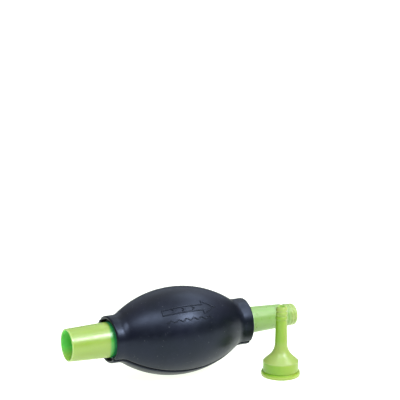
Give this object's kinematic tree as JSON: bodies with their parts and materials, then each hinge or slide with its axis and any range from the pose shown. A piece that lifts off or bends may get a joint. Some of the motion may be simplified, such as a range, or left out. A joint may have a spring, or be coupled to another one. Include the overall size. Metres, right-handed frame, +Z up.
{
  "type": "squeeze siphon starter",
  "caption": "Squeeze-bulb siphon starter for a gravel vacuum: rubber bulb with a check valve at each end, inlet tube, ridged outlet tube and a loose hose adapter.",
  "frame": {"origin": "middle of the bounding box in X and Y, on the surface that the bulb and the adapter rest on", "axes": "+X along the siphon, the way the water flows, from the wide inlet tube to the ridged outlet tube; +Z up; the loose adapter stands on the -Y side"},
  "size_m": [0.1888, 0.0862, 0.0666],
  "materials": {
    "bulb_rubber": "satin moulded rubber, blue-black",
    "inlet_plastic": "glossy translucent lime plastic",
    "outlet_plastic": "milky translucent pale lime plastic",
    "adapter_plastic": "satin translucent lime plastic",
    "valve_plastic": "natural moulded plastic",
    "seal_rubber": "soft matt rubber",
    "pin_steel": "stainless wire"
  },
  "bodies": {
    "siphon": {"bulb_shell": "bulb_rubber", "inlet_tube": "inlet_plastic", "inlet_valve_seat": "valve_plastic", "inlet_hinge_pin": "pin_steel", "outlet_tube": "outlet_plastic", "outlet_valve_seat": "valve_plastic", "outlet_hinge_pin": "pin_steel"},
    "squeeze_front": {"squeeze_wall_front": "bulb_rubber"},
    "squeeze_back": {"squeeze_wall_back": "bulb_rubber"},
    "inlet_flap": {"inlet_flap": "valve_plastic", "inlet_flap_seal": "seal_rubber"},
    "outlet_flap": {"outlet_flap": "valve_plastic", "outlet_flap_seal": "seal_rubber"},
    "adapter": {"adapter": "adapter_plastic"}
  },
  "joints": [
    {"name": "squeeze_front", "type": "slide", "parent": "siphon", "child": "squeeze_front", "axis": [0, 0.7501, -0.6613], "range_m": [0, 0.0075], "stiffness_N_per_m": 1500},
    {"name": "squeeze_back", "type": "slide", "parent": "siphon", "child": "squeeze_back", "axis": [0, -0.7501, 0.6613], "range_m": [0, 0.0075], "stiffness_N_per_m": 1500},
    {"name": "inlet_flap_hinge", "type": "hinge", "parent": "siphon", "child": "inlet_flap", "pos_m": [-0.04543, 0.00985, 0.0422], "axis": [0, -1, 0], "range_deg": [0, 60]},
    {"name": "outlet_flap_hinge", "type": "hinge", "parent": "siphon", "child": "outlet_flap", "pos_m": [0.03857, 0.00985, 0.0422], "axis": [0, -1, 0], "range_deg": [0, 60]},
    {"name": "adapter_lift", "type": "slide", "parent": "siphon", "child": "adapter", "axis": [0, 0, 1], "range_m": [0, 0.08]}
  ],
  "couplings": [
    {"joint": "squeeze_back", "follows": "squeeze_front", "ratio": 1}
  ]
}
